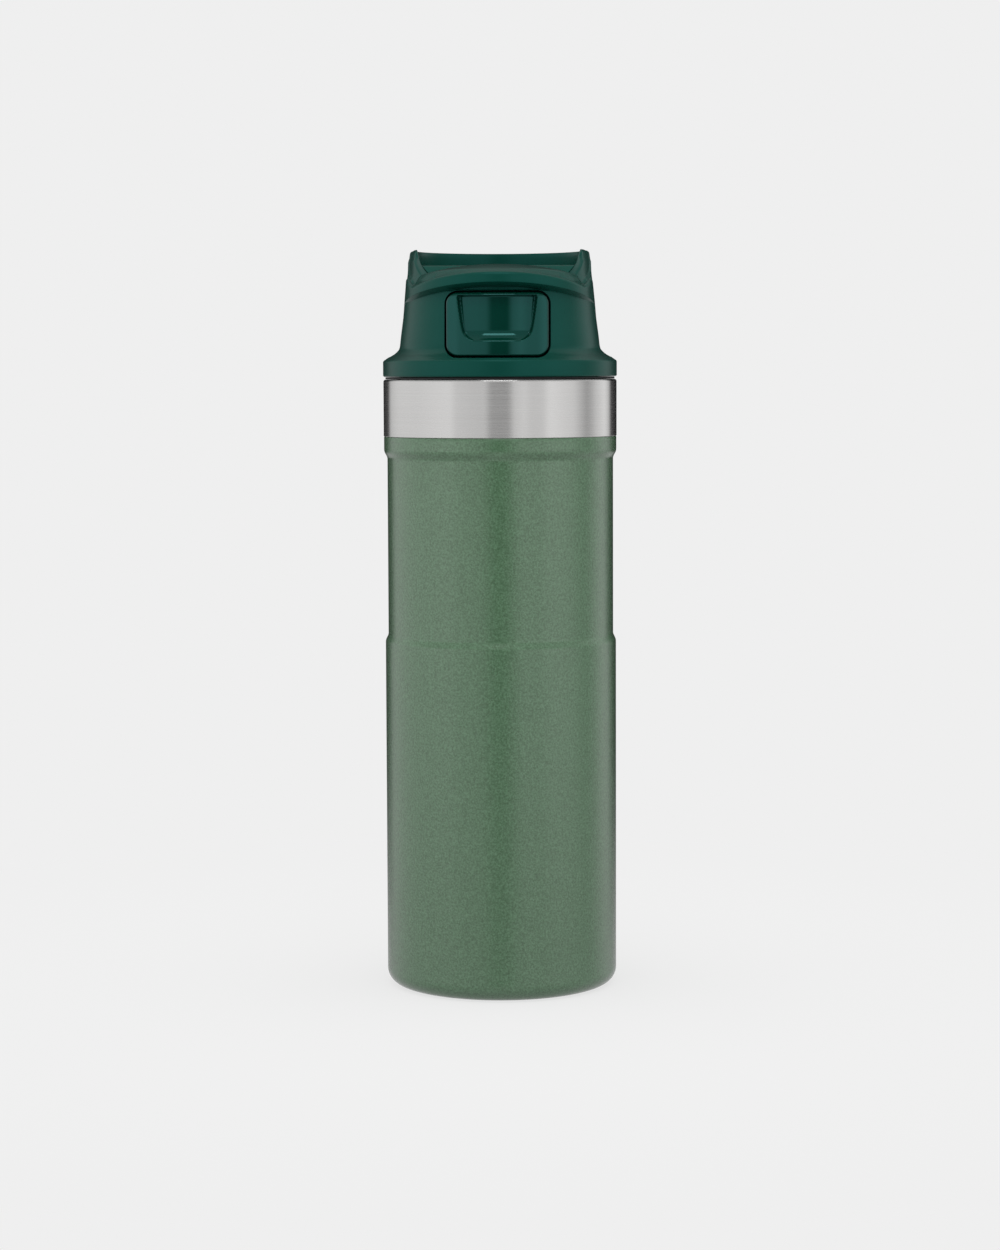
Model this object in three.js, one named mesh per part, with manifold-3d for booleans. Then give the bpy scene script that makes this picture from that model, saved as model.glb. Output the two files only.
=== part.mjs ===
// A vacuum travel flask with a screw-in lid that opens by a thumb trigger.
// Units are millimetres. +Z is up, the origin is the centre of the foot, and the trigger faces -Y.
import * as THREE from "three";
import { mergeVertices } from "three/addons/utils/BufferGeometryUtils.js";
import Module from "manifold-3d";

const wasm = await Module();
wasm.setup();

// ---- Driving dimensions ----

// The double-walled steel body.
const BODY_R = 36.5; // the lower barrel
const GRIP_R = 35.6; // the waist above the step
const COLLAR_R = 36.72; // the bare steel band
const STEP_Z = 109.1; // top of the lower barrel
const STEP_RISE = 2.7;
const BEAD_Z = 167.4; // where the waist swells out again
const BEAD_RISE = 3.1;
const COLLAR_Z = 174.0;
const RIM_Z = 191.8;
const RIM_ROLL_R = 0.9;
const RIM_IN_R = 35.2;
const SHELL_WALL = 0.5;
const FOOT_CORNER_R = 4.7;
const FOOT_IN_R = 29.3;
const LINER_WALL = 0.4;
const LINER_R = 32.4; // inside radius of the liner
const LINER_CORNER_R = 9.0;
const LINER_FLOOR_Z = 8.5;
const NECK_R = 31.8; // inside radius of its neck
const NECK_Z = 173.0;
const FLARE_Z = 187.6; // where the neck flares out to the rim
const FIT = 0.1; // gap between pieces that are welded, glued or nested

// The closed bottom of the vacuum space, and what is in it.
const BASE_WALL = 0.6;
const RECESS_R = 27.4;
const RECESS_Z = 2.2;
const DIMPLE_R = 5.0;
const DIMPLE_Z = 3.4;
const PUMP_HOLE_R = 0.8;
const GETTER_X = 14.0;
const GETTER_R = 4.5;
const FOIL_R = 33.2;
const FOIL_T = 0.2;
const [FOIL_LOW_Z, FOIL_TOP_Z] = [22.0, 168.0];
const [GETTER_LOW_Z, GETTER_TOP_Z] = [5.5, 7.2];

// The lid.
const LID_R = 37.0; // the flange that covers the rim
const LID_Z = 192.6; // its underside
const LIP_Z = 232.0; // top of the drinking lip
const LIP_IN_R = 25.4;
const LEDGE_Z = 227.0; // the deck at the front
const DISH_Z = 220.0; // floor of the drinking dish
const DISH_R = 23.0; // its flat floor
const CEILING_Z = 218.0; // roof of the valve chamber
const INSERT_R = LIP_IN_R - FIT; // the deck insert, welded into the lip
const INSERT_FRONT_Y = -13.4;
const VISOR_R = 30.2; // half the width of the visor
const VISOR_REACH = 34.0; // how far it stands out over the trigger
const VISOR_LOW_Z = 214.6; // its lower edge, where it leaves the drum at the sides
const VISOR_SLOPE = 0.187; // its climb for each millimetre towards the front
const VISOR_FACE = 3.2; // height of its upright face
const SHOULDER_Z = 194.7; // where the threaded skirt is welded in
const CHAMBER_TOP_R = 28.2; // inside radius of the drum at the roof of the valve chamber
const CHAMBER_LOW_R = 30.0; // and at its foot
const CHAMBER_LOW_Z = 201.6;
// The slant that the lip is cut away on at the front, as [y, z].
const HORN_SWEEP = [[-24, 221.3], [-17.8, 223.6], [-13.8, 227.0], [-10.4, 231.3], [-8.6, 234]];

// The threaded skirt.
const SKIRT_R = 30.1;
const SKIRT_IN_R = 27.9;
const SKIRT_Z = 171.6;
const SKIRT_PLATE_R = 34.8;

// The screw thread: three right-handed starts on the skirt, and three in the neck half a pitch above.
const THREAD_LEAD = 12.0;
const THREAD_STARTS = 3;
const SKIRT_CREST_R = 31.5;
const NECK_CREST_R = 30.6;
const SKIRT_THREAD_Z = 184.4;
const NECK_THREAD_Z = SKIRT_THREAD_Z + THREAD_LEAD / THREAD_STARTS / 2;

// The trigger.
const WINDOW_W = 32.6;
const WINDOW_LOW_Z = 198.4;
const WINDOW_TOP_Z = 219.0;
const WINDOW_CORNER_R = 3.9;
const WINDOW_GAP = 0.6;
const POCKET_WALL = 1.6;
const BULKHEAD_Y = -15.2; // the wall behind the trigger
const BULKHEAD_T = 1.6;
const TRIGGER_R = 32.6; // the curve of its face about the flask's axis
const TRIGGER_BACK_Y = -20.5;
const TRIGGER_INNER_Y = -26.5; // the back of its face
const ROD_R = 2.4;
const ROD_Z = 210.5;
const ROD_GROOVE_R = 1.9;
const CLIP_Y = -10.7;
const CLIP_T = 0.7;
const SEAL_R = 4.6;
const SEAL_BOSS_R = 6.0;
const SEAL_BOSS_Y = -11.6;

// The valve: an arm on a pin, which carries both stoppers.
const PIVOT_Y = -6.5;
const PIVOT_Z = 198.6;
const PIN_R = 1.25;
const PIN_HALF = 12.4;
const HUB_R = 3.2;
const HUB_HALF = 9.0;
const NOSE_R = 1.6; // the bar that the rod pushes
const NOSE_SET_BACK = 0.9; // the arm's web stands this far behind the nose, clear of the rod when it tilts
const RUNNING_FIT = 0.05;
const PORT_Y = 16.5;
const PORT_HALF = [7.0, 4.2];
const VENT_Y = 5.6;
const VENT_R = 1.4;
const SEAT_WALL = 1.2;
const SEAT_Z = 215.8; // underside of both valve seats
const STOPPER_TOP_Z = 215.5;
const ARM_TOP_Z = 211.3;
const ARM_PLATE_T = 2.3;
const ARM_WEB_HALF = 2.2;
const LUG_HALF_Y = 3.3;
const LUG_FROM_X = 9.4;
const LUG_TO_X = 12.0;
const BRIDGE_T = 2.0;
const BRIDGE_HALF_X = 30.0;

const SIDES = 36; // of the turned pieces, so that the threads' starts fall on their edges

// ---- Materials ----

const material = (color, roughness, metalness) =>
  new THREE.MeshStandardMaterial({ color, roughness, metalness });
const hammeredPaint = material(0x5e7a63, 0.45, 0.3);
const brushedSteel = material(0xc4c4c4, 0.3, 1.0);
const liningSteel = material(0xb9babb, 0.35, 1.0);
const copper = material(0xb87350, 0.3, 1.0);
const solderGlass = material(0x6f7f86, 0.15, 0.0);
const getterAlloy = material(0x6a6c6e, 0.6, 1.0);
const lidPlastic = material(0x1f4a44, 0.45, 0.0);
const triggerPlastic = material(0x12402f, 0.12, 0.0);
const valvePlastic = material(0x2a2d2f, 0.5, 0.0);
const silicone = material(0x232526, 0.7, 0.0);
const springSteel = material(0xaeb0b2, 0.25, 1.0);

// ---- Shape helpers ----

// An outline in (radius, height), turned about Z. One that touches the axis starts and ends there.
function turned(outline, sides = SIDES) {
  const points = outline.map(([r, z]) => new THREE.Vector2(r, z));
  if (THREE.ShapeUtils.area(points) < 0) points.reverse();
  if (points[0].x > 0) points.push(points[0].clone());
  return new THREE.LatheGeometry(points, sides).rotateX(Math.PI / 2);
}

// Points on a round stretch of an outline, from one angle to the other in degrees.
function round(r, z, radius, from, to, steps) {
  const [start, end] = [from, to].map(THREE.MathUtils.degToRad);
  const curve = new THREE.EllipseCurve(r, z, radius, radius, start, end, to < from);
  return curve.getPoints(steps).map((p) => [p.x, p.y]);
}

function toSolid(geometry) {
  const bare = new THREE.BufferGeometry().setAttribute("position", geometry.getAttribute("position"));
  const merged = mergeVertices(bare.setIndex(geometry.index), 1e-4);
  const corners = merged.index.array;
  const triVerts = []; // without the slivers that merging leaves on an axis
  for (let i = 0; i < corners.length; i += 3) {
    const [a, b, c] = corners.slice(i, i + 3);
    if (a !== b && b !== c && c !== a) triVerts.push(a, b, c);
  }
  return new wasm.Manifold(new wasm.Mesh({
    numProp: 3,
    vertProperties: merged.attributes.position.array,
    triVerts: new Uint32Array(triVerts),
  }));
}

function toGeometry(solid) {
  const mesh = solid.getMesh();
  const positions = new Float32Array(mesh.numVert * 3);
  for (let i = 0; i < mesh.numVert; i++) {
    positions.set(mesh.vertProperties.subarray(i * mesh.numProp, i * mesh.numProp + 3), i * 3);
  }
  return new THREE.BufferGeometry()
    .setAttribute("position", new THREE.BufferAttribute(positions, 3))
    .setIndex(new THREE.BufferAttribute(mesh.triVerts, 1));
}

// Each of these starts from the first geometry, and adds, cuts or keeps what it shares with the others.
const joined = (first, ...rest) =>
  toGeometry(rest.reduce((solid, geometry) => solid.add(toSolid(geometry)), toSolid(first)));
const cut = (first, ...rest) =>
  toGeometry(rest.reduce((solid, geometry) => solid.subtract(toSolid(geometry)), toSolid(first)));
const common = (first, ...rest) =>
  toGeometry(rest.reduce((solid, geometry) => solid.intersect(toSolid(geometry)), toSolid(first)));

function box(x0, x1, y0, y1, z0, z1) {
  return new THREE.BoxGeometry(x1 - x0, y1 - y0, z1 - z0)
    .translate((x0 + x1) / 2, (y0 + y1) / 2, (z0 + z1) / 2);
}

// Round bars along each axis, from one end to the other.
function barX(radius, x0, x1, y, z, sides = 16) {
  return new THREE.CylinderGeometry(radius, radius, x1 - x0, sides)
    .rotateZ(Math.PI / 2).translate((x0 + x1) / 2, y, z);
}

function barY(radius, y0, y1, x, z, sides = 16) {
  return new THREE.CylinderGeometry(radius, radius, y1 - y0, sides).translate(x, (y0 + y1) / 2, z);
}

function barZ(radius, z0, z1, x, y, sides = 16) {
  return new THREE.CylinderGeometry(radius, radius, z1 - z0, sides)
    .rotateX(Math.PI / 2).translate(x, y, (z0 + z1) / 2);
}

// An oval bar along Z, with its half axes in X and Y.
function ovalZ([halfX, halfY], z0, z1, y) {
  return barZ(1, z0, z1, 0, 0, 24).scale(halfX, halfY, 1).translate(0, y, 0);
}

// An outline in (y, z), carried along X.
function prismX(outline, x0, x1) {
  const shape = new THREE.Shape(outline.map(([y, z]) => new THREE.Vector2(y, z)));
  return new THREE.ExtrudeGeometry(shape, { depth: x1 - x0, bevelEnabled: false })
    .rotateX(Math.PI / 2).rotateZ(Math.PI / 2).translate(x0, 0, 0);
}

// A rectangle with round corners in X and Z, carried along Y. The window and the trigger share it.
function windowBar(inset, y0, y1) {
  const half = WINDOW_W / 2 - inset;
  const low = WINDOW_LOW_Z + inset;
  const top = WINDOW_TOP_Z - inset;
  const corner = WINDOW_CORNER_R - inset;
  const outline = new THREE.Shape()
    .absarc(half - corner, low + corner, corner, -Math.PI / 2, 0)
    .absarc(half - corner, top - corner, corner, 0, Math.PI / 2)
    .absarc(-half + corner, top - corner, corner, Math.PI / 2, Math.PI)
    .absarc(-half + corner, low + corner, corner, Math.PI, 1.5 * Math.PI);
  return new THREE.ExtrudeGeometry(outline, { depth: y1 - y0, bevelEnabled: false, curveSegments: 5 })
    .rotateX(Math.PI / 2).translate(0, y1, 0);
}

// A section in (radius, height), bent round Z clockwise from the angle `start`. At the angle t round,
// rise(t) is the height that it gains, and grow(t) is the share of its depth from rootR that it keeps.
function bent(section, start, sweep, steps, rise, grow = () => 1, rootR = 0) {
  const shape = new THREE.Shape(section.map(([r, z]) => new THREE.Vector2(r, z)));
  const bar = new THREE.ExtrudeGeometry(shape, { depth: sweep, steps, bevelEnabled: false });
  const p = bar.getAttribute("position");
  for (let i = 0; i < p.count; i++) {
    const t = p.getZ(i);
    const r = rootR + (p.getX(i) - rootR) * grow(t);
    p.setXYZ(i, r * Math.cos(start - t), r * Math.sin(start - t), p.getY(i) + rise(t));
  }
  return bar;
}

// The starts of a screw thread, each fading to nothing at both ends. The root is buried in its wall.
function threadStarts(rootR, crestR, topZ) {
  const sweep = THREE.MathUtils.degToRad(170);
  const fade = 0.35;
  const buriedR = rootR + 0.2 * Math.sign(rootR - crestR);
  const [root, crest] = [1.0, 0.45]; // half the ridge's height at its root and at its crest
  const section = [[buriedR, -root], [rootR, -root], [crestR, -crest],
    [crestR, crest], [rootR, root], [buriedR, root]];
  return Array.from({ length: THREAD_STARTS }, (_, i) => bent(
    section, (i * 2 * Math.PI) / THREAD_STARTS, sweep, 17,
    (t) => topZ - (THREAD_LEAD * t) / (2 * Math.PI),
    (t) => Math.max(0.02, Math.min(1, t / fade, (sweep - t) / fade)),
    buriedR,
  ));
}

// A round wire coiled about Z, from the height z1 down to z0.
function coil(radius, wireR, z0, z1, turns, start = 0) {
  const section = round(radius, 0, wireR, 0, 360, 6).slice(0, -1);
  const sweep = turns * 2 * Math.PI;
  return bent(section, start, sweep, Math.round(turns * 12), (t) => z1 + ((z0 - z1) * t) / sweep);
}

// ---- The steel body ----

// The outer wall: a drawn tube with a step under the grip, a swell under the collar and a rolled-in foot.
function outerShell() {
  const footCentre = BODY_R - FOOT_CORNER_R;
  const stepTop = STEP_Z + STEP_RISE;
  const beadTop = BEAD_Z + BEAD_RISE;
  return turned([
    [FOOT_IN_R, 0],
    ...round(footCentre, FOOT_CORNER_R, FOOT_CORNER_R, -90, 0, 4),
    [BODY_R, STEP_Z],
    [GRIP_R, stepTop],
    [GRIP_R, BEAD_Z],
    [GRIP_R + 0.2, BEAD_Z + 0.8],
    [COLLAR_R - 0.3, beadTop - 0.8],
    [COLLAR_R, beadTop],
    [COLLAR_R, COLLAR_Z - FIT],
    [COLLAR_R - SHELL_WALL, COLLAR_Z - FIT],
    [COLLAR_R - SHELL_WALL, beadTop],
    [GRIP_R - SHELL_WALL, BEAD_Z],
    [GRIP_R - SHELL_WALL, stepTop],
    [BODY_R - SHELL_WALL, STEP_Z],
    ...round(footCentre, FOOT_CORNER_R, FOOT_CORNER_R - SHELL_WALL, 0, -90, 3),
    [FOOT_IN_R, SHELL_WALL],
  ]);
}

// The bare band that tops the outer wall, rolled over to make the rim.
function rimCollar() {
  const innerR = COLLAR_R - SHELL_WALL;
  return turned([
    [COLLAR_R, COLLAR_Z],
    ...round(COLLAR_R - RIM_ROLL_R, RIM_Z - RIM_ROLL_R, RIM_ROLL_R, 0, 90, 3),
    [RIM_IN_R, RIM_Z],
    [RIM_IN_R, RIM_Z - SHELL_WALL],
    [innerR - 0.2, RIM_Z - SHELL_WALL],
    [innerR, RIM_Z - RIM_ROLL_R],
    [innerR, COLLAR_Z],
  ]);
}

// The inner wall: a deep cup, and a neck with inward threads that flares out to meet the rim.
function innerLiner() {
  const corner = [LINER_R - LINER_CORNER_R, LINER_FLOOR_Z + LINER_CORNER_R];
  const edgeR = RIM_IN_R - FIT;
  const cup = turned([
    [0, LINER_FLOOR_Z],
    ...round(...corner, LINER_CORNER_R, -90, 0, 4),
    [LINER_R, NECK_Z - 2],
    [NECK_R, NECK_Z],
    [NECK_R, FLARE_Z],
    [edgeR - 0.6, RIM_Z - 0.9],
    [edgeR, RIM_Z - 0.2],
    [edgeR, RIM_Z - 1.3],
    [NECK_R + LINER_WALL + 0.3, FLARE_Z],
    [NECK_R + LINER_WALL, FLARE_Z - 0.5],
    [NECK_R + LINER_WALL, NECK_Z],
    [LINER_R + LINER_WALL, NECK_Z - 2],
    ...round(...corner, LINER_CORNER_R + LINER_WALL, 0, -90, 4),
    [0, LINER_FLOOR_Z - LINER_WALL],
  ]);
  return joined(cup, ...threadStarts(NECK_R, NECK_CREST_R, NECK_THREAD_Z));
}

// The pressed bottom that closes the vacuum space, with the pumping hole in a dimple.
function outerBase() {
  const wallR = RECESS_R + BASE_WALL;
  const dimpleFootR = DIMPLE_R + 0.8;
  return turned([
    [PUMP_HOLE_R, DIMPLE_Z],
    [DIMPLE_R, DIMPLE_Z],
    [dimpleFootR, RECESS_Z],
    [RECESS_R, RECESS_Z],
    [RECESS_R, 0],
    [FOOT_IN_R - FIT, 0],
    [FOOT_IN_R - FIT, BASE_WALL],
    [wallR, BASE_WALL],
    [wallR, RECESS_Z + BASE_WALL],
    [dimpleFootR, RECESS_Z + BASE_WALL],
    [DIMPLE_R, DIMPLE_Z + BASE_WALL],
    [PUMP_HOLE_R, DIMPLE_Z + BASE_WALL],
  ]);
}

// The plate glued into the bottom recess, over the pumping hole.
function baseCover() {
  const edgeR = RECESS_R - 0.3;
  const top = RECESS_Z - FIT;
  const bottom = top - 0.6;
  return turned([[0, bottom], [edgeR - 0.2, bottom], [edgeR, bottom + 0.2], [edgeR, top], [0, top]]);
}

// The drop of solder glass that seals the pumping hole, with the stub that ran up into it.
function sealBead() {
  const top = DIMPLE_Z - FIT;
  const tip = DIMPLE_Z + BASE_WALL + 0.3;
  return turned([[0, 2.5], [2.6, 2.6], [3.8, 3.0], [4.0, top], [0.6, top], [0.6, tip], [0, tip]], 16);
}

// The foil wrapped round the liner, which sends its heat back.
function copperFoil() {
  const outR = FOIL_R + FOIL_T;
  return turned([[FOIL_R, FOIL_LOW_Z], [outR, FOIL_LOW_Z], [outR, FOIL_TOP_Z], [FOIL_R, FOIL_TOP_Z]]);
}

// The strip that holds the getter pill under the floor of the liner.
function getterClip() {
  const foot = LINER_FLOOR_Z - LINER_WALL - FIT;
  const [reach, low, strip] = [GETTER_R + 2.3, 5.0, 0.4];
  const outline = [[-reach, foot], [-reach, low], [reach, low], [reach, foot], [reach - strip, foot],
    [reach - strip, low + strip], [strip - reach, low + strip], [strip - reach, foot]];
  return prismX(outline, GETTER_X - 2, GETTER_X + 2);
}

// ---- The lid ----

// The turned wall of the lid: flange, slope, tapered drum and lip, round the valve chamber.
function lidDrum() {
  const plateR = SKIRT_PLATE_R + 0.2;
  return turned([
    [LIP_IN_R, CEILING_Z],
    [CHAMBER_TOP_R, CEILING_Z],
    [28.7, 211.0],
    [CHAMBER_LOW_R, CHAMBER_LOW_Z],
    [30.4, 199.4],
    [33.2, 197.0],
    [33.2, SHOULDER_Z],
    [plateR, SHOULDER_Z],
    [plateR, LID_Z],
    ...round(LID_R - 0.5, LID_Z + 0.5, 0.5, -90, 0, 2),
    ...round(LID_R - 0.8, 197.1, 0.8, 0, 70, 3),
    [34.3, 199.1],
    [32.6, 200.2],
    [31.7, 201.6],
    [31.2, 205.3],
    [30.4, 211.0],
    [29.4, 221.6],
    [28.8, 228.5],
    [28.2, 230.9],
    ...round(LIP_IN_R + 1.3, LIP_Z - 1.3, 1.3, 60, 180, 4),
  ]);
}

// A disc that is stretched forward and climbs forward, which the visor is cut from.
function visorDisc() {
  const disc = turned([
    [0, VISOR_LOW_Z],
    [VISOR_R - 3.0, VISOR_LOW_Z - 1.4],
    [VISOR_R, VISOR_LOW_Z],
    [VISOR_R, VISOR_LOW_Z + VISOR_FACE],
    [VISOR_R - 0.6, VISOR_LOW_Z + VISOR_FACE + 0.6],
    [VISOR_R - 3.6, VISOR_LOW_Z + 6.1],
    [VISOR_R - 16.0, VISOR_LOW_Z + 8.9],
    [0, VISOR_LOW_Z + 9.3],
  ]);
  const p = disc.getAttribute("position");
  for (let i = 0; i < p.count; i++) {
    const y = Math.min(0, p.getY(i)) * (VISOR_REACH / VISOR_R);
    p.setXYZ(i, p.getX(i), Math.max(0, p.getY(i)) + y, p.getZ(i) - y * VISOR_SLOPE);
  }
  return disc;
}

// The drum with its window, the visor, the walls of the trigger's pocket and the boss for the rod's seal.
function lidHousing() {
  // The lip is cut away at the front on a slant, which leaves two horns. The visor fills the front.
  const frontCut = prismX([[-45, HORN_SWEEP[0][1]], ...HORN_SWEEP, [-45, HORN_SWEEP.at(-1)[1]]], -40, 40);
  const chamber = turned([
    [0, CHAMBER_LOW_Z], [CHAMBER_LOW_R, CHAMBER_LOW_Z], [CHAMBER_TOP_R, CEILING_Z], [0, CEILING_Z],
  ]);
  const insertRoom = common(
    turned([[0, CEILING_Z - 1], [LIP_IN_R, CEILING_Z - 1], [LIP_IN_R, 240], [0, 240]]),
    box(-40, 40, INSERT_FRONT_Y - FIT, 40, 200, 240),
  );
  const visor = cut(common(visorDisc(), box(-40, 40, -40, -4, 205, 230)), chamber, insertRoom);
  const pocketWalls = common(
    windowBar(-POCKET_WALL, -40, BULKHEAD_Y + BULKHEAD_T),
    turned([[0, 190], [31.2, 190], [30.8, 205.3], [29.2, 219], [28.8, 222], [0, 222]]),
  );
  const boss = barY(SEAL_BOSS_R, BULKHEAD_Y, SEAL_BOSS_Y, 0, ROD_Z);
  return cut(
    joined(cut(lidDrum(), frontCut), visor, pocketWalls, boss),
    windowBar(0, -45, BULKHEAD_Y),
    barY(ROD_R + 0.2, -20, -5, 0, ROD_Z),
    barY(SEAL_R + FIT, BULKHEAD_Y + BULKHEAD_T, -5, 0, ROD_Z),
  );
}

// The deck welded into the lip: a drinking dish that slopes up to the front, and a port and a vent with seats.
function deckInsert() {
  const plate = common(
    turned([[0, CEILING_Z], [INSERT_R, CEILING_Z], [INSERT_R, LEDGE_Z], [0, LEDGE_Z]]),
    box(-40, 40, INSERT_FRONT_Y, 40, 200, 240),
  );
  const bowl = turned([[0, DISH_Z], [DISH_R, DISH_Z], [DISH_R + 3, DISH_Z + 3], [DISH_R + 3, 240], [0, 240]]);
  const dish = common(bowl, prismX([[-2.3, 219], [30, 219], [30, 240], [-16.3, 240]], -30, 30));
  const seatTop = CEILING_Z + 1;
  const [portX, portY] = PORT_HALF;
  return cut(
    joined(
      plate,
      ovalZ([portX + SEAT_WALL, portY + SEAT_WALL], SEAT_Z, seatTop, PORT_Y),
      barZ(VENT_R + SEAT_WALL, SEAT_Z, seatTop, 0, VENT_Y),
    ),
    dish,
    ovalZ(PORT_HALF, 210, 230, PORT_Y),
    barZ(VENT_R, 210, 230, 0, VENT_Y),
  );
}

// The threaded tube welded up into the lid.
function threadSkirt() {
  const plateTop = SHOULDER_Z - FIT;
  const tube = turned([
    [SKIRT_IN_R, SKIRT_Z],
    [SKIRT_R - 0.5, SKIRT_Z],
    [SKIRT_R, SKIRT_Z + 0.5],
    [SKIRT_R, LID_Z],
    [SKIRT_PLATE_R, LID_Z],
    [SKIRT_PLATE_R, plateTop],
    [SKIRT_IN_R, plateTop],
  ]);
  return joined(tube, ...threadStarts(SKIRT_R, SKIRT_CREST_R, SKIRT_THREAD_Z));
}

// The ring squeezed between the rim and the lid, with a lip that hangs inside the flare of the neck.
function lidGasket() {
  const [top, bottom, innerR] = [LID_Z - FIT, RIM_Z + FIT, SKIRT_R + 0.35];
  return turned([
    [innerR, top],
    [innerR, bottom - 2.0],
    [innerR + 0.9, bottom - 2.0],
    [innerR + 1.2, bottom],
    [BODY_R - 0.4, bottom],
    [BODY_R - 0.4, top],
  ]);
}

// ---- The trigger ----

function triggerButton() {
  const face = turned([[0, 190], [TRIGGER_R, 190], [TRIGGER_R, 230], [0, 230]], 72);
  const thumbDish = new THREE.SphereGeometry(1, 32, 16).scale(12.4, 8.5, 14.5).translate(0, -37.4, 217);
  const socketEnd = TRIGGER_BACK_Y - 1;
  const shell = cut(
    common(windowBar(WINDOW_GAP, -40, TRIGGER_BACK_Y), face),
    windowBar(WINDOW_GAP + 1.8, TRIGGER_INNER_Y, -15),
    thumbDish,
  );
  return cut(
    joined(shell, barY(ROD_R + 1.8, TRIGGER_INNER_Y - 0.5, socketEnd, 0, ROD_Z)),
    barY(ROD_R + FIT, TRIGGER_INNER_Y, -15, 0, ROD_Z),
  );
}

// The rod that carries the push through the bulkhead. A groove near its tip takes the clip.
function triggerRod() {
  const tip = PIVOT_Y - NOSE_R - 0.3;
  const rod = barY(ROD_R, TRIGGER_INNER_Y + FIT, tip, 0, ROD_Z);
  const half = CLIP_T / 2 + FIT;
  const groove = cut(
    barY(ROD_R + 1, CLIP_Y - half, CLIP_Y + half, 0, ROD_Z),
    barY(ROD_GROOVE_R, CLIP_Y - 2, CLIP_Y + 2, 0, ROD_Z),
  );
  return cut(rod, groove);
}

// The open ring that keeps the rod from being pulled out.
function rodClip() {
  const [y0, y1] = [CLIP_Y - CLIP_T / 2, CLIP_Y + CLIP_T / 2];
  return cut(
    barY(4.2, y0, y1, 0, ROD_Z),
    barY(ROD_GROOVE_R + FIT, y0 - 1, y1 + 1, 0, ROD_Z),
    box(-1.5, 1.5, y0 - 1, y1 + 1, ROD_Z - 6, ROD_Z),
  );
}

function rodSeal() {
  const y0 = BULKHEAD_Y + BULKHEAD_T + FIT;
  return cut(barY(SEAL_R, y0, SEAL_BOSS_Y - 0.2, 0, ROD_Z), barY(ROD_R + RUNNING_FIT, y0 - 1, 0, 0, ROD_Z));
}

function triggerSpring() {
  const [front, back] = [TRIGGER_INNER_Y + 0.6, BULKHEAD_Y - 0.6];
  return coil(ROD_R + 2.9, 0.45, -back, -front, 5).rotateX(Math.PI / 2).translate(0, 0, ROD_Z);
}

// ---- The valve ----

// A bell crank: the rod pushes its nose, and the plate behind carries the stoppers down off their seats.
function valveArm() {
  const plateLow = ARM_TOP_Z - ARM_PLATE_T;
  const plateEnd = PORT_Y + 5;
  const front = PIVOT_Y - NOSE_R + NOSE_SET_BACK;
  const back = PIVOT_Y + NOSE_R;
  const web = prismX([
    [front, PIVOT_Z], [back, PIVOT_Z - 1], [VENT_Y, plateLow - 2.2], [plateEnd - 3, plateLow - 0.6],
    [plateEnd - 3, ARM_TOP_Z - 0.5], [VENT_Y - 4, ARM_TOP_Z - 0.5], [back, PIVOT_Z + 7], [back, ROD_Z],
    [front, ROD_Z],
  ], -ARM_WEB_HALF, ARM_WEB_HALF);
  const arm = joined(
    web,
    barX(HUB_R, -HUB_HALF, HUB_HALF, PIVOT_Y, PIVOT_Z),
    barX(NOSE_R, -4.5, 4.5, PIVOT_Y, ROD_Z),
    box(-5.5, 5.5, PORT_Y - 4.5, plateEnd, plateLow, ARM_TOP_Z),
    barZ(4.0, plateLow, ARM_TOP_Z, 0, VENT_Y),
    box(-3.5, 3.5, VENT_Y, PORT_Y, plateLow, ARM_TOP_Z),
  );
  return cut(arm, barX(PIN_R + RUNNING_FIT, -20, 20, PIVOT_Y, PIVOT_Z), ...stemHoles());
}

const stemHoles = () => [PORT_Y, VENT_Y].flatMap((y) => [
  barZ(1.5, 190, 230, 0, y),
  barZ(2.5, 190, ARM_TOP_Z - ARM_PLATE_T, 0, y),
]);

// A stopper's stem runs down through the arm and ends in a bulb that keeps it there.
function stem(y) {
  const plateLow = ARM_TOP_Z - ARM_PLATE_T;
  const profile = turned([
    [0, plateLow - 1.9], [1.2, plateLow - 1.7], [2.1, plateLow - FIT], [1.4, plateLow - FIT],
    [1.4, ARM_TOP_Z + 1], [0, ARM_TOP_Z + 1],
  ], 16);
  return profile.translate(0, y, 0);
}

function portStopper() {
  const [x, y] = PORT_HALF;
  const low = ARM_TOP_Z + FIT;
  return joined(ovalZ([x + SEAT_WALL, y + SEAT_WALL], low, STOPPER_TOP_Z, PORT_Y), stem(PORT_Y));
}

function ventStopper() {
  return joined(barZ(VENT_R + SEAT_WALL + 0.2, ARM_TOP_Z + FIT, STOPPER_TOP_Z, 0, VENT_Y), stem(VENT_Y));
}

const armPin = () => barX(PIN_R, -PIN_HALF, PIN_HALF, PIVOT_Y, PIVOT_Z);

// The bridge across the lid's mouth that holds the pin in two lugs.
function valveBracket() {
  const [y0, y1] = [PIVOT_Y - LUG_HALF_Y, PIVOT_Y + LUG_HALF_Y];
  const bridgeTop = SHOULDER_Z + BRIDGE_T;
  const lugs = [-1, 1].map((side) => {
    const [x0, x1] = [side * LUG_FROM_X, side * LUG_TO_X].sort((a, b) => a - b);
    return joined(
      box(x0, x1, y0, y1, SHOULDER_Z + 0.5, PIVOT_Z),
      barX(LUG_HALF_Y, x0, x1, PIVOT_Y, PIVOT_Z),
    );
  });
  const bridge = joined(
    box(-BRIDGE_HALF_X, BRIDGE_HALF_X, y0 - 1, y1 + 1, SHOULDER_Z, bridgeTop),
    box(-24, 24, y0 - 1, y1 + 1, bridgeTop - 4.5, bridgeTop),
  );
  // The bridge is hollowed under the hub, to clear it and its spring.
  const hollow = barX(HUB_R + 1.7, -LUG_FROM_X, LUG_FROM_X, PIVOT_Y, PIVOT_Z);
  return cut(joined(bridge, ...lugs), barX(PIN_R + RUNNING_FIT, -20, 20, PIVOT_Y, PIVOT_Z), hollow);
}

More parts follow.
